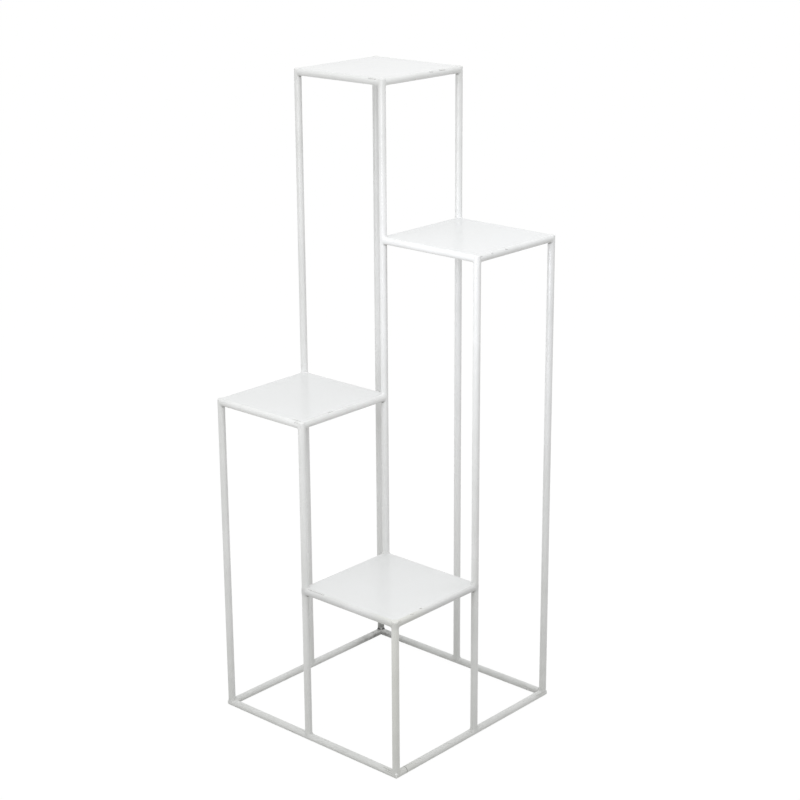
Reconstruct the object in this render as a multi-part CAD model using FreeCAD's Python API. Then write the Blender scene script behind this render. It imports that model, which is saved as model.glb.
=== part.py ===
import FreeCAD, Part
import math
import os

from FreeCAD import Vector

# A welded plant stand of round steel tube, seen with one corner to the front.
# Four square tiers climb round a two by two grid of posts: the bottom tier in
# the front cell, the lower tier in the left one, the upper tier in the right
# one and the top tier in the back one. X runs along the front left side of the
# base and Y along the front right side, so the front corner is at +X, -Y.
# The origin is on the floor under the middle of the base, and Z is up.

# Driving dimensions, in millimetres
base_pitch = 380.0          # corner post to corner post, axis to axis
middle_post_x = -5.0        # cross line of the middle posts, a little behind the centre
middle_post_y = 3.5
tube_diameter = 12.0
tube_wall = 1.0
bottom_tier_height = 273.5  # floor to the crown of each tier's rim
lower_tier_height = 555.5
upper_tier_height = 819.0
top_tier_height = 1071.0
closed_end = 2.0            # metal that closes the top of a post
plate_thickness = 1.5
plate_drop = 0.5            # from the crown of the rim down to the plate
weld_leg = 3.0              # fillet weld, along the post and along the rail
saddle_trim = 1.0           # taken off the thin tips of a saddle cut
corner_grind = 1.1          # ground off the point of a base corner
overrun = 2.0               # how far a cutter reaches past what it cuts

# A foot weld spans this much of the tube's width, over the root of the saddle
weld_span_share = 0.5

# Worked out from the driving dimensions
tube_radius = tube_diameter / 2
bore_radius = tube_radius - tube_wall
half_pitch = base_pitch / 2
base_axis_height = tube_radius
cut_reach = tube_radius + overrun
up = Vector(0, 0, 1)

# Grid lines that the posts stand on
line_x = {"left": -half_pitch, "middle": middle_post_x, "right": half_pitch}
line_y = {"front": -half_pitch, "middle": middle_post_y, "back": half_pitch}
post_lines = {
    "left_corner_post": ("left", "front"),
    "front_corner_post": ("right", "front"),
    "right_corner_post": ("right", "back"),
    "back_corner_post": ("left", "back"),
    "front_left_middle_post": ("middle", "front"),
    "front_right_middle_post": ("right", "middle"),
    "back_right_middle_post": ("middle", "back"),
    "back_left_middle_post": ("left", "middle"),
    "centre_post": ("middle", "middle"),
}

# Each tier by the grid lines round its cell, low then high, and its height
tiers = {
    "bottom_tier": (("middle", "right"), ("front", "middle"), bottom_tier_height),
    "lower_tier": (("left", "middle"), ("front", "middle"), lower_tier_height),
    "upper_tier": (("middle", "right"), ("middle", "back"), upper_tier_height),
    "top_tier": (("left", "middle"), ("middle", "back"), top_tier_height),
}

# Sides of a square, going round from its left corner
side_names = ("front_left", "front_right", "back_right", "back_left")


def rod(start, end, radius):
    run = end - start
    return Part.makeCylinder(radius, run.Length, start, run)


def prism(outline, low, high):
    points = [Vector(p.x, p.y, low) for p in outline]
    return Part.Face(Part.makePolygon(points + points[:1])).extrude(up * (high - low))


# Corners of a square, going round from the left one
def square(low_x, high_x, low_y, high_y, height):
    return [
        Vector(low_x, low_y, height),
        Vector(high_x, low_y, height),
        Vector(high_x, high_y, height),
        Vector(low_x, high_y, height),
    ]


# Rail along one side of a square whose inside is on the left hand. The plan of
# its end, as steps along the rail and inwards from the corner, shapes both ends.
def rail(start, end, end_plan, bored):
    along = (end - start).normalize()
    inward = up.cross(along)
    outline = [start + along * a + inward * i for a, i in end_plan]
    outline += [end - along * a + inward * i for a, i in reversed(end_plan)]
    block = prism(outline, start.z - cut_reach, start.z + cut_reach)
    far_start = start - along * cut_reach
    far_end = end + along * cut_reach
    solid = rod(far_start, far_end, tube_radius).common(block)
    if bored:
        solid = solid.cut(rod(far_start, far_end, bore_radius))
    return solid


# The base rails lie on the floor and meet in mitres, with the points ground flat
def base_rails(bored):
    corners = square(-half_pitch, half_pitch, -half_pitch, half_pitch, base_axis_height)
    mitre = [(-cut_reach, -cut_reach), (cut_reach, cut_reach)]
    width = base_pitch + tube_diameter
    low_corner = Vector(-width / 2, -width / 2, -overrun)
    ground = Part.makeBox(width, width, tube_diameter + overrun * 2, low_corner)
    uprights = [e for e in ground.Edges if e.BoundBox.ZLength > tube_diameter]
    ground = ground.makeChamfer(corner_grind * math.sqrt(2), uprights)
    rails = {}
    for i, side in enumerate(side_names):
        whole = rail(corners[i], corners[(i + 1) % 4], mitre, bored)
        rails[side + "_base_rail"] = whole.common(ground)
    return rails


def post_point(name, height):
    x_line, y_line = post_lines[name]
    return Vector(line_x[x_line], line_y[y_line], height)


# A post ends at the highest tier that it carries
def post_top(name):
    x_line, y_line = post_lines[name]
    return max(h for x_lines, y_lines, h in tiers.values() if x_line in x_lines and y_line in y_lines)


# Posts stand on the base, but the centre post ends under the bottom tier's rim
def post_foot(name):
    if name == "centre_post":
        return bottom_tier_height - tube_diameter
    return base_axis_height + saddle_trim


# Outer form of a post, to cut what seats on it
def post_rod(name):
    return rod(post_point(name, post_foot(name)), post_point(name, post_top(name)), tube_radius)


# Tube with a closed top and a foot cut to a saddle over the base rails. The
# centre post, which stands on nothing, is closed at both ends.
def post(name, feet):
    foot = post_foot(name)
    tube = post_rod(name).cut(feet)
    bore_foot = foot + closed_end if name == "centre_post" else foot - overrun
    bore_top = post_top(name) - closed_end
    return tube.cut(rod(post_point(name, bore_foot), post_point(name, bore_top), bore_radius))


def tier_corners(tier):
    (low_x, high_x), (low_y, high_y), height = tiers[tier]
    axis_height = height - tube_radius
    return square(line_x[low_x], line_x[high_x], line_y[low_y], line_y[high_y], axis_height)


def tier_posts(tier):
    x_lines, y_lines, height = tiers[tier]
    names = [n for n, (x, y) in post_lines.items() if x in x_lines and y in y_lines]
    return [post_rod(name) for name in names]


# The rim's rails are saddled on the posts and mitred to each other inside them
def rim_rails(tier):
    corners = tier_corners(tier)
    uprights = tier_posts(tier)
    end_plan = [(saddle_trim, -cut_reach), (saddle_trim, saddle_trim), (cut_reach, cut_reach)]
    rails = {}
    for i, side in enumerate(side_names):
        whole = rail(corners[i], corners[(i + 1) % 4], end_plan, bored=True)
        rails[tier + "_" + side + "_rail"] = whole.cut(uprights)
    return rails


# Sheet let in between the rails, its edges bedded on their inner shoulders
def plate(tier):
    corners = tier_corners(tier)
    top = tiers[tier][2] - plate_drop
    rods = [rod(corners[i - 1], corners[i], tube_radius) for i in range(4)]
    return prism(corners, top - plate_thickness, top).cut(rods + tier_posts(tier))


# Weld in the root between an upright post and a rail, whose axes cross at the
# given point. Its flat face runs straight from the post to the rail, so the face
# belongs to an elliptic cylinder as wide as the tubes, and the legs are full
# size over the rail's crown and die out towards its flanks.
def fillet_weld(crossing, rail_way):
    across = up.cross(rail_way)
    outward = (up + rail_way).normalize()
    slant = (rail_way - up).normalize()
    reach = tube_diameter + weld_leg
    start = crossing - slant * reach
    face = Part.Ellipse(
        start + outward * (reach / math.sqrt(2)), start + across * tube_radius, start
    )
    body = Part.Face(Part.Wire(face.toShape())).extrude(slant * (reach * 2))
    half_span = tube_radius * weld_span_share
    side = crossing - across * half_span
    outline = [side, side + rail_way * reach, side + (rail_way + up) * reach, side + up * reach]
    block = Part.Face(Part.makePolygon(outline + outline[:1])).extrude(across * (half_span * 2))
    return body.common(block)


# Ways in which the base rails leave the foot of a post
def foot_ways(name):
    x_line, y_line = post_lines[name]
    ways = []
    if y_line != "middle":
        ways += [Vector(1, 0, 0)] if x_line != "right" else []
        ways += [Vector(-1, 0, 0)] if x_line != "left" else []
    if x_line != "middle":
        ways += [Vector(0, 1, 0)] if y_line != "back" else []
        ways += [Vector(0, -1, 0)] if y_line != "front" else []
    return ways


def foot_welds(names, around):
    beads = []
    for name in names:
        crossing = post_point(name, base_axis_height)
        for way in foot_ways(name):
            beads += fillet_weld(crossing, way).cut(around).Solids
    return Part.makeCompound(beads)


def build():
    os.makedirs("parts", exist_ok=True)
    rail_rods = list(base_rails(bored=False).values())
    parts = base_rails(bored=True)
    for name in post_lines:
        parts[name] = post(name, rail_rods)
    for tier in tiers:
        parts.update(rim_rails(tier))
        parts[tier + "_plate"] = plate(tier)
    around = rail_rods + [post_rod(name) for name in post_lines]
    standing = [name for name in post_lines if name != "centre_post"]
    corner_posts = [name for name in standing if "corner" in name]
    middle_posts = [name for name in standing if "middle" in name]
    parts["corner_post_foot_welds"] = foot_welds(corner_posts, around)
    parts["middle_post_foot_welds"] = foot_welds(middle_posts, around)
    for name, shape in parts.items():
        shape.exportStep("parts/" + name + ".step")


build()
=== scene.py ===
import bpy
import math
from mathutils import Matrix, Vector


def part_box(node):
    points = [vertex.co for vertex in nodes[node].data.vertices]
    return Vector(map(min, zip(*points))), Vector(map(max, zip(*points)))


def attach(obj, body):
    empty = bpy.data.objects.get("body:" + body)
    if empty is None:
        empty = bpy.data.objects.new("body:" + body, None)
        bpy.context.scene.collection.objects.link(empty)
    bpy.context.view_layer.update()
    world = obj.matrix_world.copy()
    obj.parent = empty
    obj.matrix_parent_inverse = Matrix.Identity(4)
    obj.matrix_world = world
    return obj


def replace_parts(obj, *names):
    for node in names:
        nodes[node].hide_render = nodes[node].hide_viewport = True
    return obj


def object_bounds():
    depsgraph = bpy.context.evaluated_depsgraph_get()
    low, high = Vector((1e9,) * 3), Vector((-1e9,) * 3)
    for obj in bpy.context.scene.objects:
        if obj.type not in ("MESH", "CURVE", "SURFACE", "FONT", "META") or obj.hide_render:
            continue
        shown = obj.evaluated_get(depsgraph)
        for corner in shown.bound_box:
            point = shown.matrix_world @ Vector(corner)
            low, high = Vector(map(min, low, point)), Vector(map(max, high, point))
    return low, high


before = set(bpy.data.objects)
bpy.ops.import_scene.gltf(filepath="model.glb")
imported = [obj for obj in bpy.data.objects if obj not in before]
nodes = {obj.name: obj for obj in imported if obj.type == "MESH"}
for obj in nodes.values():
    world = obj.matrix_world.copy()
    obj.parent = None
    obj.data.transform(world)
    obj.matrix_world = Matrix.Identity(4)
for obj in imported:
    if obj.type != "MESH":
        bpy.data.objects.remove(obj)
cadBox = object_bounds()
mm = 0.001


# Shader wiring

class Wire:                                  # a socket that can be used in sums
    def __init__(self, finish, socket):
        self.finish = finish
        self.socket = socket

    def maths(self, operation, other=0.0, swapped=False):
        sockets = {0: other, 1: self} if swapped else {0: self, 1: other}
        return self.finish.node("ShaderNodeMath", {"operation": operation}, sockets)

    def __add__(self, other):
        return self.maths("ADD", other)

    def __sub__(self, other):
        return self.maths("SUBTRACT", other)

    def __rsub__(self, other):
        return self.maths("SUBTRACT", other, swapped=True)

    def __mul__(self, other):
        return self.maths("MULTIPLY", other)

    __radd__ = __add__
    __rmul__ = __mul__


class Finish:                                # a material, or the world, under construction
    def __init__(self, owner):
        owner.use_nodes = True
        self.owner = owner
        self.tree = owner.node_tree
        self.tree.nodes.clear()

    def node(self, kind, settings=None, sockets=None, output=0):
        made = self.tree.nodes.new(kind)
        for name, value in (settings or {}).items():
            setattr(made, name, value)
        for name, value in (sockets or {}).items():
            if isinstance(value, Wire):
                self.tree.links.new(value.socket, made.inputs[name])
            else:
                made.inputs[name].default_value = value
        return Wire(self, made.outputs[output]) if len(made.outputs) else None

    def mix(self, share, first, second, blend="MIX"):      # two colours
        settings = {"data_type": "RGBA", "blend_type": blend}
        sockets = {"Factor": share, 6: first, 7: second}
        return self.node("ShaderNodeMix", settings, sockets, output=2)

    def noise(self, where, scale, detail=2.0, roughness=0.5, stretch=(1, 1, 1)):
        if stretch != (1, 1, 1):
            where = self.node("ShaderNodeMapping", None, {"Vector": where, "Scale": stretch})
        sockets = {"Vector": where, "Scale": scale, "Detail": detail, "Roughness": roughness}
        return self.node("ShaderNodeTexNoise", None, sockets)

    def spread(self, value, low, high, toLow=0.0, toHigh=1.0):
        sockets = {0: value, 1: low, 2: high, 3: toLow, 4: toHigh}
        return self.node("ShaderNodeMapRange", {"interpolation_type": "SMOOTHSTEP"}, sockets)

    def along(self, axis, where):             # x, y or z of a place, in metres
        return self.node("ShaderNodeSeparateXYZ", None, {0: where}, output="xyz".index(axis))

    def near(self, value, centre, inside, outside):    # 1 at the centre, 0 outside
        return self.spread((value - centre).maths("ABSOLUTE"), outside, inside)

    def away(self, where, centre):            # distance from a place
        return self.node("ShaderNodeVectorMath", {"operation": "DISTANCE"},
                         {0: where, 1: centre}, output=1)

    def finish(self, shader):
        self.node("ShaderNodeOutputMaterial", None, {"Surface": shader})
        return self.owner


# White paint

# Scales are of noises, in patches to the metre. A range says where on a noise, height or
# distance a tint starts and where it is full, and may end with its least and greatest share.
# Three numbers for a height or for buttY are a middle, how far from it the tint is full,
# and how far from it the tint is gone.
paint = {
    "colour": (0.815, 0.818, 0.813, 1),
    "roughness": 0.25,
    "plate": (0.782, 0.789, 0.789, 1),
    "plateRoughness": 0.16,
    "thin": (0.76, 0.765, 0.755, 1),         # thin coat, where it lets the primer through
    "thinScale": 14,
    "thinRange": (0.35, 0.7),
    "thinOnPlates": 0.3,                     # the sheets are sprayed more evenly
    "thinRoughness": 0.08,
    "floorShadeAndDirt": (0.70, 0.705, 0.69, 1),         # painted shade, darker towards the floor, mixed with settled dirt in patches
    "floorShadeAndDirtTop": 0.24,                         # the painted shade and the dirt fade out at this height
    "dustScale": 45,
    "dustRange": (0.25, 0.75, 0.55, 1.0),
    "dustRoughness": 0.12,
    "scuff": (0.50, 0.50, 0.48, 1),          # shoe and broom marks on the base
    "scuffTop": 0.016,
    "scuffFade": 0.004,
    "scuffScale": 60,
    "scuffStretch": (0.35, 0.35, 3),
    "scuffRange": (0.56, 0.68, 0.0, 0.7),
    "bottomFlankShade": (0.865, 0.865, 0.87, 1),       # painted shade on the rim flanks of the bottom tier
    "bottomFlankShadeHeight": (0.2665, 0.002, 0.009),
    "bottomFlankShadeX": (-0.02, -0.012),
    "bottomFlankShadeY": (0.018, 0.011),
    "warmShade": (0.93, 0.93, 0.89, 1),       # painted warm shade on the front corner, most under the bottom tier
    "warmShadeAt": (0.285, -0.255, 0.065),    # in places scaled by the next line
    "warmShadeScale": (1.5, 1.5, 0.33),
    "warmShadeRange": (0.1, 0.025),
    "backCornerShade": (0.20, 0.20, 0.19, 1),          # painted shade on the back corner of the base, deep under the stand
    "backCornerShadeAt": (-0.19, 0.19, 0.012),
    "backCornerShadeRange": (0.125, 0.008),
    "backCornerShadeShare": 0.6,                       # before patches add to it and the lit tops of the rails take away
    "shadePatchShare": 0.4,
    "shadePatchScale": 95,
    "shadePatchRange": (0.35, 0.65),
    "litTopsShare": 0.42,                      # less painted shade on top of the rails, where light falls
    "litTopsHeight": (0.0118, 0.001, 0.005),
    "butt": (0.25, 0.25, 0.24, 1),           # joint ground flush in the front right base rail
    "buttY": (-0.170, 0.0002, 0.001),
    "buttX": (0.17, 0.18),
    "buttTop": (0.0125, 0.012),
    "root": (0.24, 0.235, 0.22, 1),          # painted shade in the root of a weld
    "rootScale": 420,
    "rootRange": (0.3, 0.62, 0.35, 1.0),
    "deepShade": (0.045, 0.045, 0.045, 1),        # near-black painted shade, in roots shaded more than fully
    "deepShadeRange": (0.9, 1.7),
    "paintedHighlight": (0.92, 0.925, 0.92, 1),        # painted highlight, where a root is below nothing
    "paintedHighlightRange": (-0.2, -0.8),
    "peelSize": 1.6 * mm,                    # orange peel
    "peelHeight": 0.012 * mm,
    "waveSize": 55 * mm,                     # the sheet isn't quite flat
    "waveHeight": 0.06 * mm,
}


def paintFinish(name, wavy=False, rooted=False, shadedAndSeamed=False):
    finish = Finish(bpy.data.materials.new(name))
    where = finish.node("ShaderNodeTexCoord", output=3)
    high = finish.along("z", where)
    thin = finish.spread(finish.noise(where, paint["thinScale"], detail=3), *paint["thinRange"])
    coat = paint["plate" if wavy else "colour"]
    colour = finish.mix(thin * (paint["thinOnPlates"] if wavy else 1.0), coat, paint["thin"])
    # painted shade darkening towards the floor, with settled dirt in patches
    towardsFloor = finish.spread(high, paint["floorShadeAndDirtTop"], 0.0)
    patchy = finish.spread(finish.noise(where, paint["dustScale"], detail=4), *paint["dustRange"])
    colour = finish.mix(towardsFloor * patchy, colour, paint["floorShadeAndDirt"])
    low = finish.spread(high, paint["scuffTop"], paint["scuffTop"] - paint["scuffFade"])
    streaks = finish.noise(where, paint["scuffScale"], detail=5, roughness=0.7,
                           stretch=paint["scuffStretch"])
    scuffs = low * finish.spread(streaks, *paint["scuffRange"])
    colour = finish.mix(scuffs, colour, paint["scuff"])
    # painted shade on the bottom tier's rim and the front and back corners, and the dark butt
    # joint line
    if shadedAndSeamed:
        x, y = finish.along("x", where), finish.along("y", where)
        # painted shade on the rim flanks of the bottom tier
        flanks = finish.near(high, *paint["bottomFlankShadeHeight"]) * finish.spread(x, *paint["bottomFlankShadeX"])
        flanks = flanks * finish.spread(y, *paint["bottomFlankShadeY"])
        colour = finish.mix(flanks, colour, paint["bottomFlankShade"], blend="MULTIPLY")
        # painted warm shade round the front corner, under the bottom tier
        scaled = finish.node("ShaderNodeVectorMath", {"operation": "MULTIPLY"},
                             {0: where, 1: paint["warmShadeScale"]})
        shadedCorner = finish.spread(finish.away(scaled, paint["warmShadeAt"]), *paint["warmShadeRange"])
        colour = finish.mix(shadedCorner, colour, paint["warmShade"], blend="MULTIPLY")
        # painted shade round the back corner of the base, in patches, lighter on the rails' lit
        # tops
        shadePatches = finish.noise(where, paint["shadePatchScale"], detail=4, roughness=0.6)
        shadePatches = finish.spread(shadePatches, *paint["shadePatchRange"]) * paint["shadePatchShare"]
        litTops = finish.near(high, *paint["litTopsHeight"]) * paint["litTopsShare"]
        cornerShade = finish.spread(finish.away(where, paint["backCornerShadeAt"]), *paint["backCornerShadeRange"])
        cornerShade = cornerShade * (paint["backCornerShadeShare"] + shadePatches - litTops)
        colour = finish.mix(cornerShade, colour, paint["backCornerShade"])
        line = finish.near(y, *paint["buttY"]) * finish.spread(x, *paint["buttX"])
        line = line * finish.spread(high, *paint["buttTop"])
        colour = finish.mix(line, colour, paint["butt"])
    if rooted:
        # painted shade in the roots of the welds, in patches
        root = finish.node("ShaderNodeAttribute", {"attribute_name": "root"}, output=2)
        rootPatches = finish.noise(where, paint["rootScale"], detail=2)
        rootPatches = finish.spread(rootPatches, *paint["rootRange"])
        colour = finish.mix(root * rootPatches, colour, paint["root"])
        # near-black painted shade where the root shade is more than full
        colour = finish.mix(finish.spread(root, *paint["deepShadeRange"]), colour, paint["deepShade"])
        # painted highlight where the root is below nothing
        colour = finish.mix(finish.spread(root, *paint["paintedHighlightRange"]), colour, paint["paintedHighlight"])
    peel = finish.noise(where, 1 / paint["peelSize"], detail=1)
    surface = {"Height": peel, "Distance": paint["peelHeight"], "Strength": 1.0}
    if wavy:
        wave = finish.noise(where, 1 / paint["waveSize"], detail=1)
        surface["Normal"] = finish.node("ShaderNodeBump", None, {
            "Height": wave, "Distance": paint["waveHeight"], "Strength": 1.0})
    rough = paint["plateRoughness" if wavy else "roughness"]
    shader = finish.node("ShaderNodeBsdfPrincipled", None, {
        "Base Color": colour,
        "Roughness": rough + paint["thinRoughness"] * thin + paint["dustRoughness"] * towardsFloor,
        "Normal": finish.node("ShaderNodeBump", None, surface),
    })
    return finish.finish(shader)


tubePaint = paintFinish("tube_paint", shadedAndSeamed=True)
platePaint = paintFinish("plate_paint", wavy=True)
weldPaint = paintFinish("weld_paint", rooted=True, shadedAndSeamed=True)


def paintFor(name):
    if name.endswith("_plate"):
        return platePaint
    return weldPaint if name.endswith("_welds") else tubePaint


for name, piece in nodes.items():
    piece.data.materials.clear()
    piece.data.materials.append(paintFor(name))
print("paint is on the tubes, plates and welds")


# Places on the stand

tube = {"radius": 6.0 * mm, "sides": 42}
hair = 0.01 * mm                             # points closer than this are one
crease = 40                                  # degrees; edges that turn more stay sharp

# posts at each tier's corners
tierPosts = {
    "bottom_tier": {"left": "front_left_middle_post", "front": "front_corner_post",
                    "right": "front_right_middle_post", "back": "centre_post"},
    "lower_tier": {"left": "left_corner_post", "front": "front_left_middle_post",
                   "right": "centre_post", "back": "back_left_middle_post"},
    "upper_tier": {"left": "centre_post", "front": "front_right_middle_post",
                   "right": "right_corner_post", "back": "back_right_middle_post"},
    "top_tier": {"left": "back_left_middle_post", "front": "centre_post",
                 "right": "back_right_middle_post", "back": "back_corner_post"},
}

# first of the two rails that leave a corner, in degrees from +X; the other is 90 on
cornerTurn = {"left": 0, "front": 90, "right": 180, "back": 270}


def postAxis(post):
    low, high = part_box(post)
    return (low.x + high.x) / 2, (low.y + high.y) / 2


def postTop(post):
    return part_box(post)[1].z


def crown(tier):                             # top of the rim
    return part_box(tier + "_front_left_rail")[1].z


def pick(piece):                             # it alone is selected and active
    bpy.ops.object.select_all(action="DESELECT")
    piece.select_set(True)
    bpy.context.view_layer.objects.active = piece


def apply(piece, kind, settings):            # adds a modifier and applies it
    pick(piece)
    modifier = piece.modifiers.new(kind.lower(), kind)
    for name, value in settings.items():
        setattr(modifier, name, value)
    bpy.ops.object.modifier_apply(modifier=modifier.name)


def join(pieces, name):
    pick(pieces[0])
    for piece in pieces:
        piece.select_set(True)
    if len(pieces) > 1:
        bpy.ops.object.join()
    whole = bpy.context.object
    whole.name = whole.data.name = name
    return whole


def copyOf(master, place):                   # a copy with its own mesh, moved to its place
    copy = bpy.data.objects.new(master.name, master.data.copy())
    bpy.context.scene.collection.objects.link(copy)
    copy.data.transform(place)
    return copy


def putOn(piece, finish):
    piece.data.materials.clear()
    piece.data.materials.append(finish)
    pick(piece)
    bpy.ops.object.shade_smooth_by_angle(angle=math.radians(crease))
    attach(piece, "root")


def turned(degrees, axis="Z"):
    return Matrix.Rotation(math.radians(degrees), 4, axis)


# Posts, with the tops ground round where no rail meets them

post = {
    "outerRound": 2.3 * mm,
    "innerRound": 0.45 * mm,                 # towards the plate
    "steps": 4,
    "merge": 0.005 * mm,                     # points of the copied tube
    "flat": 0.5,                             # degrees between triangles that become one face
    "rimFrom": 5.8 * mm,                     # edges of the top this far out are its rim
    "toRail": 45,                            # degrees from a corner's inward diagonal
}


# Never deeper than the rail's own shoulder, so it dies out at the rail's crown
def topRound(fromInward):
    fromRail = math.radians(min(90, abs(fromInward - post["toRail"])))
    shoulder = tube["radius"] * (1 - math.cos(fromRail))
    return min(shoulder, post["outerRound" if fromInward > post["toRail"] else "innerRound"])


def makePost(name):
    tier = max((t for t in tierPosts if name in tierPosts[t].values()), key=crown)
    corner = [c for c in cornerTurn if tierPosts[tier][c] == name][0]
    piece = copyOf(nodes[name], Matrix.Identity(4))
    piece.name = piece.data.name = name + "_tube"
    pick(piece)
    bpy.ops.object.mode_set(mode="EDIT")
    bpy.ops.mesh.select_all(action="SELECT")
    bpy.ops.mesh.customdata_custom_splitnormals_clear()
    bpy.ops.mesh.remove_doubles(threshold=post["merge"])
    bpy.ops.mesh.dissolve_limited(angle_limit=math.radians(post["flat"]))
    bpy.ops.object.mode_set(mode="OBJECT")
    axis, top = postAxis(name), postTop(name)
    inward = cornerTurn[corner] + post["toRail"]
    mesh = piece.data
    weights = mesh.attributes.new("bevel_weight_edge", "FLOAT", "EDGE")
    for edge in mesh.edges:
        ends = [mesh.vertices[i].co for i in edge.vertices]
        spot = (ends[0] + ends[1]) / 2
        x, y = spot.x - axis[0], spot.y - axis[1]
        onTop = all(abs(v.z - top) < hair for v in ends)
        if onTop and math.hypot(x, y) > post["rimFrom"]:
            fromInward = abs((math.degrees(math.atan2(y, x)) - inward + 180) % 360 - 180)
            weights.data[edge.index].value = topRound(fromInward) / post["outerRound"]
    apply(piece, "BEVEL", {"limit_method": "WEIGHT", "width": post["outerRound"],
                           "segments": post["steps"], "use_clamp_overlap": False})
    putOn(piece, tubePaint)
    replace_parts(piece, name)


for name in [n for n in nodes if n.endswith("_post")]:
    makePost(name)
print("posts have their rounded tops")


# Fillet welds in the corners between tubes

weld = {
    "tubeLength": 40 * mm,                   # of the two tubes whose corner is filled
    "rimLeg": 3.0 * mm,
    "footLeg": 3.6 * mm,
    "span": 74,                              # degrees round the tube, either side of the root
    "steps": 5,
    "wall": 1.2 * mm,
    "ripple": 0.2 * mm,
    "rippleSize": 3.5 * mm,
    "rootWidth": 5.6 * mm,                   # painted root shade reaches this far either side of the middle
    "rootFade": 0.5,                         # share of that width over which it fades
    "rootDepth": 0.52,                       # share of the leg where the painted root shade ends
    "rootRim": 0.2,                          # share of the leg over which it fades
    "clear": 20 * mm,                        # a post that ends this near a crown doesn't pass it
    "upperRootShade": 0.15,                      # how much painted root shade there is above a rim, where light falls
    "outerRootShade": 0.3,                       # on the corner between two rails
    "footRootShade": 0.35,
    "deepRootShade": 2.0,                       # more than full painted shade, at the foot of the back corner post
}


# Bead between a post that goes down and a rail that goes along +X, both from the origin
def makeFillet(name, leg):
    halves = []
    for lying in (False, True):
        bpy.ops.object.select_all(action="DESELECT")
        bpy.ops.mesh.primitive_cylinder_add(
            vertices=tube["sides"], radius=tube["radius"], depth=weld["tubeLength"],
            end_fill_type="NOTHING", rotation=(0, math.pi / 2 if lying else 0, 0))
        bpy.ops.object.transform_apply(location=False, rotation=True, scale=False)
        bpy.ops.object.mode_set(mode="EDIT")
        bpy.ops.mesh.select_all(action="SELECT")
        bpy.ops.mesh.bisect(plane_co=(0, 0, 0), plane_no=(1, 0, 1),
                            clear_outer=not lying, clear_inner=lying)
        bpy.ops.object.mode_set(mode="OBJECT")
        halves.append(bpy.context.object)
    elbow = join(halves, name)
    bpy.ops.object.mode_set(mode="EDIT")
    bpy.ops.mesh.select_all(action="SELECT")
    bpy.ops.mesh.remove_doubles(threshold=hair)
    bpy.ops.mesh.select_all(action="DESELECT")
    bpy.ops.mesh.select_mode(type="EDGE")
    bpy.ops.object.mode_set(mode="OBJECT")
    mesh = elbow.data
    reach = tube["radius"] * math.sin(math.radians(weld["span"]))
    for edge in mesh.edges:
        ends = [mesh.vertices[i].co for i in edge.vertices]
        inCorner = all(abs(v.x + v.z) < 2 * hair and v.x > 0 for v in ends)
        edge.select = inCorner and all(abs(v.y) < reach for v in ends)
    bpy.ops.object.mode_set(mode="EDIT")
    bpy.ops.mesh.bevel(offset=leg, offset_type="OFFSET", segments=weld["steps"], profile=0.5,
                       affect="EDGES", clamp_overlap=False)
    bpy.ops.mesh.select_all(action="INVERT")
    bpy.ops.mesh.delete(type="FACE")
    bpy.ops.object.mode_set(mode="OBJECT")
    apply(elbow, "SOLIDIFY", {"thickness": weld["wall"], "offset": -1})
    # the painted root shade: full in the middle of the corner and deep in the crease
    root = elbow.data.attributes.new("root", "FLOAT", "POINT")
    for i, vertex in enumerate(elbow.data.vertices):
        across = min(abs(vertex.co.y), tube["radius"])
        depth = (vertex.co.x - vertex.co.z) / 2 - math.sqrt(tube["radius"] ** 2 - across ** 2)
        inside = (weld["rootWidth"] - across) / (weld["rootFade"] * weld["rootWidth"])
        deep = (weld["rootDepth"] * leg - depth) / (weld["rootRim"] * leg)
        root.data[i].value = max(0, min(1, inside)) * max(0, min(1, deep))
    return elbow


def fadeRoot(piece, share):
    for spot in piece.data.attributes["root"].data:
        spot.value = spot.value * share


def finishWelds(pieces, name):
    beads = join(pieces, name)
    clouds = bpy.data.textures.new(name, "CLOUDS")
    clouds.noise_scale = weld["rippleSize"]
    apply(beads, "DISPLACE", {"texture": clouds, "strength": weld["ripple"], "mid_level": 0.5,
                              "texture_coords": "LOCAL"})
    putOn(beads, weldPaint)
    return beads


rimFillet = makeFillet("rim_fillet", weld["rimLeg"])
footFillet = makeFillet("foot_fillet", weld["footLeg"])
upsideDown = turned(180, "X")


def rimWelds(tier):
    beads = []
    for corner, name in tierPosts[tier].items():
        x, y = postAxis(name)
        middle = Matrix.Translation((x, y, crown(tier) - tube["radius"]))
        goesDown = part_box(name)[0].z < crown(tier) - weld["clear"]
        goesUp = postTop(name) > crown(tier) + weld["clear"]
        for turn in (cornerTurn[corner], cornerTurn[corner] + 90):
            if goesDown:
                beads.append(copyOf(rimFillet, middle @ turned(turn)))
            if goesUp:
                beads.append(copyOf(rimFillet, middle @ turned(turn) @ upsideDown))
                # less painted root shade above a rim, where light falls
                fadeRoot(beads[-1], weld["upperRootShade"])
        beads.append(copyOf(rimFillet, middle @ turned(cornerTurn[corner]) @ turned(90, "X")))
        fadeRoot(beads[-1], weld["outerRootShade"])
    finishWelds(beads, tier + "_rim_welds")


def footWelds(names):
    beads = []
    for name, turns in names.items():
        x, y = postAxis(name)
        foot = Matrix.Translation((x, y, tube["radius"]))
        for turn in turns:
            beads.append(copyOf(footFillet, foot @ turned(turn) @ upsideDown))
            # painted root shade at each foot, more than full at the back corner post
            fadeRoot(beads[-1], weld["deepRootShade" if name == "back_corner_post" else "footRootShade"])
    return beads


for tier in tierPosts:
    rimWelds(tier)

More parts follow.
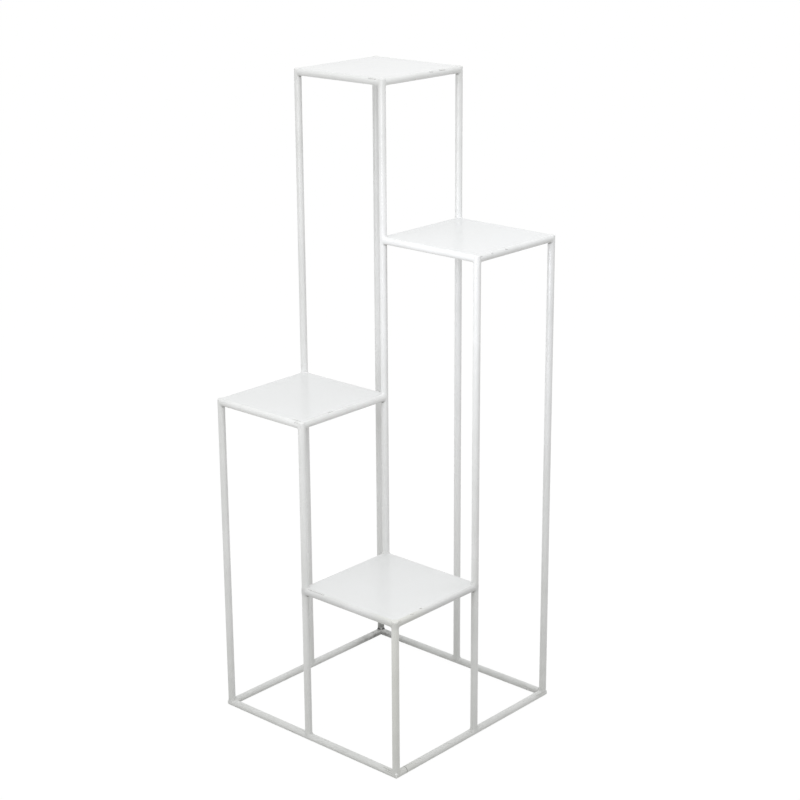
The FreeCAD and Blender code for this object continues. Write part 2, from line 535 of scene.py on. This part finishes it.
# each post with the ways in which base rails leave its foot, in degrees from +X
cornerFeet = footWelds({
    "left_corner_post": (0, 90), "front_corner_post": (90, 180),
    "right_corner_post": (180, 270), "back_corner_post": (270, 0)})
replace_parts(finishWelds(cornerFeet, "corner_feet_beads"), "corner_post_foot_welds")
middleFeet = footWelds({
    "front_left_middle_post": (0, 180), "back_right_middle_post": (0, 180),
    "front_right_middle_post": (90, 270), "back_left_middle_post": (90, 270)})
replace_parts(finishWelds(middleFeet, "middle_feet_beads"), "middle_post_foot_welds")
bpy.data.objects.remove(rimFillet)
bpy.data.objects.remove(footFillet)
print("fillet welds are in the corners")


# Welds laid round the middle posts where they pass a tier's corner. A bulge is how far one
# stands out along the base rail below it, and the side across that rail is flush.
collar = {
    "bulge": {"front_left_middle_post": 1.3 * mm, "front_right_middle_post": 0.5 * mm,
              "back_left_middle_post": 0.6 * mm, "back_right_middle_post": 0.6 * mm},
    "inner": 0.15 * mm,                      # starts this far inside the tube's face
    "halfHeight": 10 * mm,
    "sides": 48,
    "steps": 14,
    "wall": 0.8 * mm,
}
passedTier = {"front_left_middle_post": "bottom_tier", "front_right_middle_post": "bottom_tier",
              "back_left_middle_post": "lower_tier", "back_right_middle_post": "upper_tier"}


def makeCollar(name):
    x, y = postAxis(name)
    bottom = crown(passedTier[name]) - tube["radius"] - collar["halfHeight"]
    start = tube["radius"] - collar["inner"]
    bpy.ops.object.select_all(action="DESELECT")
    bpy.ops.mesh.primitive_circle_add(vertices=collar["sides"], radius=start,
                                      fill_type="NOTHING", location=(x, y, bottom))
    ring = bpy.context.object
    bpy.ops.object.transform_apply(location=True, rotation=False, scale=False)
    bpy.ops.object.mode_set(mode="EDIT")
    bpy.ops.mesh.select_all(action="SELECT")
    alongX = abs(x) < abs(y)
    wide = start
    rise = 2 * collar["halfHeight"] / collar["steps"]
    for i in range(1, collar["steps"] + 1):
        swell = math.sin(math.pi * i / collar["steps"]) ** 2
        now = start + (collar["bulge"][name] + collar["inner"]) * swell
        bpy.ops.mesh.extrude_region_move(TRANSFORM_OT_translate={"value": (0, 0, rise)})
        bpy.ops.transform.resize(
            value=(now / wide if alongX else 1, 1 if alongX else now / wide, 1),
            center_override=(x, y, bottom + rise * i))
        wide = now
    bpy.ops.mesh.select_all(action="SELECT")
    bpy.ops.mesh.normals_make_consistent(inside=False)
    bpy.ops.object.mode_set(mode="OBJECT")
    apply(ring, "SOLIDIFY", {"thickness": collar["wall"], "offset": -1})
    ring.data.attributes.new("root", "FLOAT", "POINT")
    finishWelds([ring], name + "_collar")


for name in collar["bulge"]:
    makeCollar(name)
print("collars are round the posts")


# Tack welds between plates and rails: short rows of small overlapping beads
tack = {
    "radius": 1.5 * mm,
    "flat": 0.45,                            # height against width
    "pitch": 1.4 * mm,
    "uneven": 0.16,                          # share by which the beads differ in size
    "wander": 0.15 * mm,
    "unevenTurn": 2.4,                       # radians from bead to bead
    "wanderTurn": 1.7,
    "voxel": 0.25 * mm,
    "toe": 0.6 * mm,                         # painted shade reaches this high round the foot of a bead
    "toeShade": 1.2,
}

# tier, side, millimetres from the corner where the side starts, degrees round the
# rail from its crown with + outwards, beads in the row
tackRows = [
    ("top_tier", "front_left", 168, 40, 11),
    ("top_tier", "front_right", 112, 41, 5),
    ("top_tier", "front_right", 140, 40, 9),
    ("lower_tier", "front_left", 172, -12, 12),
    ("lower_tier", "front_left", 178, 38, 7),
    ("lower_tier", "front_right", 66, -8, 7),
    ("bottom_tier", "front_left", 26, 12, 24),
    ("bottom_tier", "front_right", 7, 44, 2),
    ("bottom_tier", "front_right", 37, 20, 3),
    ("bottom_tier", "front_right", 61, -14, 3),
    ("upper_tier", "front_right", 5, 42, 1),
    ("upper_tier", "front_right", 31, 43, 2),
    ("upper_tier", "front_right", 66, 40, 3),
    ("base", "front_left", 366, 22, 14),
    ("base", "front_left", 368, 52, 11),
    ("base", "front_right", 183, 42, 2),
    ("base", "back_right", 189, -52, 2),
    ("base", "back_right", 370, -34, 3),
    ("base", "back_left", 11, -28, 2),
    ("base", "back_left", 24, -58, 1),
]
under = {"turn": -49, "count": 9, "places": (46, 142)}     # plate's underside, on every side
sideTurn = {"front_left": 0, "front_right": 90, "back_right": 180, "back_left": 270}
sideStart = {"front_left": "left", "front_right": "front",
             "back_right": "right", "back_left": "back"}


def makeTack(count):
    beads = []
    for i in range(count):
        bpy.ops.object.select_all(action="DESELECT")
        bpy.ops.mesh.primitive_uv_sphere_add(segments=16, ring_count=10, radius=tack["radius"])
        bead = bpy.context.object
        size = 1 + tack["uneven"] * math.sin(i * tack["unevenTurn"] + count)
        bead.scale = (size, size, size * tack["flat"])
        aside = tack["wander"] * math.sin(i * tack["wanderTurn"])
        bead.location = ((i - (count - 1) / 2) * tack["pitch"], aside, 0)
        bpy.ops.object.transform_apply(location=True, rotation=False, scale=True)
        beads.append(bead)
    row = join(beads, "tack")
    apply(row, "REMESH", {"mode": "VOXEL", "voxel_size": tack["voxel"]})
    apply(row, "SMOOTH", {"factor": 0.5, "iterations": 6})
    # painted shade round the foot of each bead
    root = row.data.attributes.new("root", "FLOAT", "POINT")
    for i, vertex in enumerate(row.data.vertices):
        above = vertex.co.z + vertex.co.y ** 2 / (2 * tube["radius"])
        root.data[i].value = max(0, min(1, tack["toeShade"] - above / tack["toe"]))
    return row


def onRail(tier, side, along, turn):         # a row's place on a rail, its beads along the rail
    corner = sideStart[side]
    x, y = postAxis(corner + "_corner_post" if tier == "base" else tierPosts[tier][corner])
    top = tube["radius"] * 2 if tier == "base" else crown(tier)
    start = Matrix.Translation((x, y, top - tube["radius"])) @ turned(sideTurn[side])
    there = start @ Matrix.Translation((along * mm, 0, 0)) @ turned(turn, "X")
    return there @ Matrix.Translation((0, 0, tube["radius"]))


def rowsOn(place):                           # a tier's rows, or the base's
    return [copyOf(tackMasters[count], onRail(tier, side, along, turn))
            for tier, side, along, turn, count in tackRows if tier == place]


counts = {row[4] for row in tackRows} | {under["count"]}
tackMasters = {count: makeTack(count) for count in counts}
for tier in tierPosts:
    rows = rowsOn(tier)
    for side in sideTurn:
        for along in under["places"]:
            place = onRail(tier, side, along, under["turn"])
            rows.append(copyOf(tackMasters[under["count"]], place))
    putOn(join(rows, tier + "_tack_welds"), weldPaint)
putOn(join(rowsOn("base"), "base_tack_welds"), weldPaint)
for master in tackMasters.values():
    bpy.data.objects.remove(master)
print("tack welds hold the plates")


# Bead that closes the point of each base corner
tip = [                                      # inset is from the outer faces of the rails
    {"radius": 1.3 * mm, "tall": 2.5, "inset": 1.42 * mm, "height": 6.0 * mm},
    {"radius": 2.6 * mm, "tall": 1.1, "inset": 3.0 * mm, "height": 9.0 * mm},
]


def tipBead(corner, size):
    low, high = cadBox
    x = high[0] - size["inset"] if corner in ("front", "right") else low[0] + size["inset"]
    y = high[1] - size["inset"] if corner in ("right", "back") else low[1] + size["inset"]
    bpy.ops.object.select_all(action="DESELECT")
    bpy.ops.mesh.primitive_uv_sphere_add(segments=24, ring_count=16, radius=size["radius"],
                                         location=(x, y, size["height"]))
    bead = bpy.context.object
    bead.scale = (1, 1, size["tall"])
    bpy.ops.object.transform_apply(location=True, rotation=False, scale=True)
    root = bead.data.attributes.new("root", "FLOAT", "POINT")
    for spot in root.data:
        spot.value = -1.0                    # painted highlight
    return bead


tips = [tipBead(corner, size) for corner in cornerTurn for size in tip]
finishWelds(tips, "corner_point_beads")
print("corner points are closed")


# Painted-over seam between each plate and its rim

seam = {
    "under": 0.005 * mm,                     # below the crown, so that no faces coincide
    "start": 0.4 * mm,                       # inwards from the rim's crown
    "level": 4.4 * mm,                       # level as far as this, then down to the plate
    "end": 16 * mm,
    "steps": 8,
    "drop": 0.5 * mm,                        # crown to plate
    "wall": 0.7 * mm,
}


def plateSeam(tier):
    low = Vector(postAxis(tierPosts[tier]["left"]))
    high = Vector(postAxis(tierPosts[tier]["right"]))
    bpy.ops.object.select_all(action="DESELECT")
    bpy.ops.mesh.primitive_plane_add(size=1)
    band = bpy.context.object
    band.name = band.data.name = tier + "_plate_seam"
    centre = (low + high) / 2
    band.location = (centre.x, centre.y, crown(tier) - seam["under"])
    band.scale = (high.x - low.x, high.y - low.y, 1)
    bpy.ops.object.transform_apply(location=True, rotation=False, scale=True)
    bpy.ops.object.mode_set(mode="EDIT")
    bpy.ops.mesh.select_all(action="SELECT")
    bpy.ops.mesh.inset(thickness=seam["start"], depth=0)
    bpy.ops.mesh.inset(thickness=seam["level"] - seam["start"], depth=0)
    step = (seam["end"] - seam["level"]) / seam["steps"]
    before = 0
    for i in range(1, seam["steps"] + 1):
        share = i / seam["steps"]
        after = seam["drop"] * share * share * (3 - 2 * share)
        bpy.ops.mesh.inset(thickness=step, depth=before - after)
        before = after
    bpy.ops.mesh.delete(type="FACE")
    bpy.ops.object.mode_set(mode="OBJECT")
    apply(band, "SOLIDIFY", {"thickness": seam["wall"], "offset": -1})
    putOn(band, platePaint)


for tier in tierPosts:
    plateSeam(tier)
print("plate seams are filled")


# Room

room = {
    "floorSize": 60.0,
    "floorColour": (0.52, 0.515, 0.5, 1),
    "floorWhite": 0.9,                       # share of plain white that the camera sees
    "whiteLevel": 1.07,
    "light": 0.75,                           # strength of the even light all round
    "lightColour": (0.995, 1.0, 1.0, 1),
}


def seenDirectly(finish):                    # camera, gloss and glass see the white room
    kinds = ("Is Camera Ray", "Is Glossy Ray", "Is Transmission Ray")
    camera, gloss, glass = [finish.node("ShaderNodeLightPath", output=kind) for kind in kinds]
    return finish.node("ShaderNodeClamp", None, {"Value": camera + gloss + glass})


bpy.ops.object.select_all(action="DESELECT")
bpy.ops.mesh.primitive_circle_add(vertices=96, radius=room["floorSize"] / 2, fill_type="NGON")
floor = bpy.context.object
floor.name = "floor"
floorFinish = Finish(bpy.data.materials.new("floor"))
lit = floorFinish.node("ShaderNodeBsdfDiffuse", None, {"Color": room["floorColour"]})
white = floorFinish.node("ShaderNodeEmission", None, {
    "Color": (1, 1, 1, 1), "Strength": room["whiteLevel"]})
share = seenDirectly(floorFinish) * room["floorWhite"]
floor.data.materials.append(floorFinish.finish(
    floorFinish.node("ShaderNodeMixShader", None, {0: share, 1: lit, 2: white})))

world = bpy.data.worlds.new("room")
bpy.context.scene.world = world
around = Finish(world)
dim = around.node("ShaderNodeBackground", None, {
    "Color": room["lightColour"], "Strength": room["light"]})
bright = around.node("ShaderNodeBackground", None, {"Color": (1, 1, 1, 1), "Strength": 1.0})
mixed = around.node("ShaderNodeMixShader", None, {0: seenDirectly(around), 1: dim, 2: bright})
around.node("ShaderNodeOutputWorld", None, {"Surface": mixed})


# Lamps, aimed at the middle of the stand or, for the spot, at its brightest part. Those
# behind the stand aren't mirrored in the plates.

middle = tuple((Vector(cadBox[0]) + Vector(cadBox[1])) / 2)
lamps = {
    "overhead": {"kind": "AREA", "place": (0.3, -0.3, 2.0), "aim": middle, "size": 1.0,
                 "watts": 4.2, "colour": (1.0, 1.0, 0.99)},
    "window": {"kind": "AREA", "place": (0.248, -0.865, 0.95), "aim": middle, "size": 0.4,
               "watts": 2.4, "colour": (0.99, 0.99, 1.0)},
    "spot": {"kind": "SPOT", "place": (0.563, -1.06, 1.16), "aim": (0.14, 0.08, 0.74),
             "size": 0.15, "watts": 19.5, "colour": (0.96, 0.975, 1.07), "cone": 32},
    "back_right": {"kind": "AREA", "place": (0.7, 1.212, 2.2), "aim": middle, "size": 0.9,
                   "watts": 3.2, "colour": (0.98, 0.99, 1.02), "mirrored": False},
    "back_left": {"kind": "AREA", "place": (-0.581, 1.597, 1.0), "aim": middle, "size": 0.9,
                  "watts": 2.2, "colour": (0.97, 0.99, 1.03), "mirrored": False},
}


def addLamp(name, facts):
    light = bpy.data.lights.new(name, facts["kind"])
    light.energy = facts["watts"]
    light.color = facts["colour"]
    if facts["kind"] == "SPOT":
        light.spot_size = math.radians(facts["cone"])
        light.spot_blend = 1.0               # softened over the cone's whole width
        light.shadow_soft_size = facts["size"]
    else:
        light.shape = "SQUARE"
        light.size = facts["size"]
    lamp = bpy.data.objects.new(name, light)
    lamp.location = facts["place"]
    ahead = Vector(facts["aim"]) - lamp.location
    lamp.rotation_euler = ahead.to_track_quat("-Z", "Y").to_euler()
    lamp.visible_camera = False
    lamp.visible_glossy = facts.get("mirrored", True)
    bpy.context.scene.collection.objects.link(lamp)


for name, facts in lamps.items():
    addLamp(name, facts)
print("room and lamps are set")


# Camera

view = {
    "lens": 83.49,                           # in millimetres, like the sensor's width
    "sensor": 36.0,
    "azimuth": 41.979,                       # degrees round from the front, towards +X
    "elevation": 17.974,
    "roll": -0.341,
    "distance": 3.0444,
    "aim": (0.01772, 0.01594, 0.54621),
}


def addCamera():
    lens = bpy.data.cameras.new("camera")
    lens.lens = view["lens"]
    lens.sensor_width = view["sensor"]
    lens.clip_end = room["floorSize"] * 2
    camera = bpy.data.objects.new("camera", lens)
    azimuth, elevation = math.radians(view["azimuth"]), math.radians(view["elevation"])
    level = math.cos(elevation)
    back = Vector((math.sin(azimuth) * level, -math.cos(azimuth) * level, math.sin(elevation)))
    roll = Matrix.Rotation(math.radians(view["roll"]), 4, "Z").to_quaternion()
    camera.rotation_mode = "QUATERNION"
    camera.rotation_quaternion = back.to_track_quat("Z", "Y") @ roll
    camera.location = Vector(view["aim"]) + back * view["distance"]
    bpy.context.scene.collection.objects.link(camera)
    bpy.context.scene.camera = camera


addCamera()
bpy.context.scene.view_settings.view_transform = "Standard"
print("camera is set")
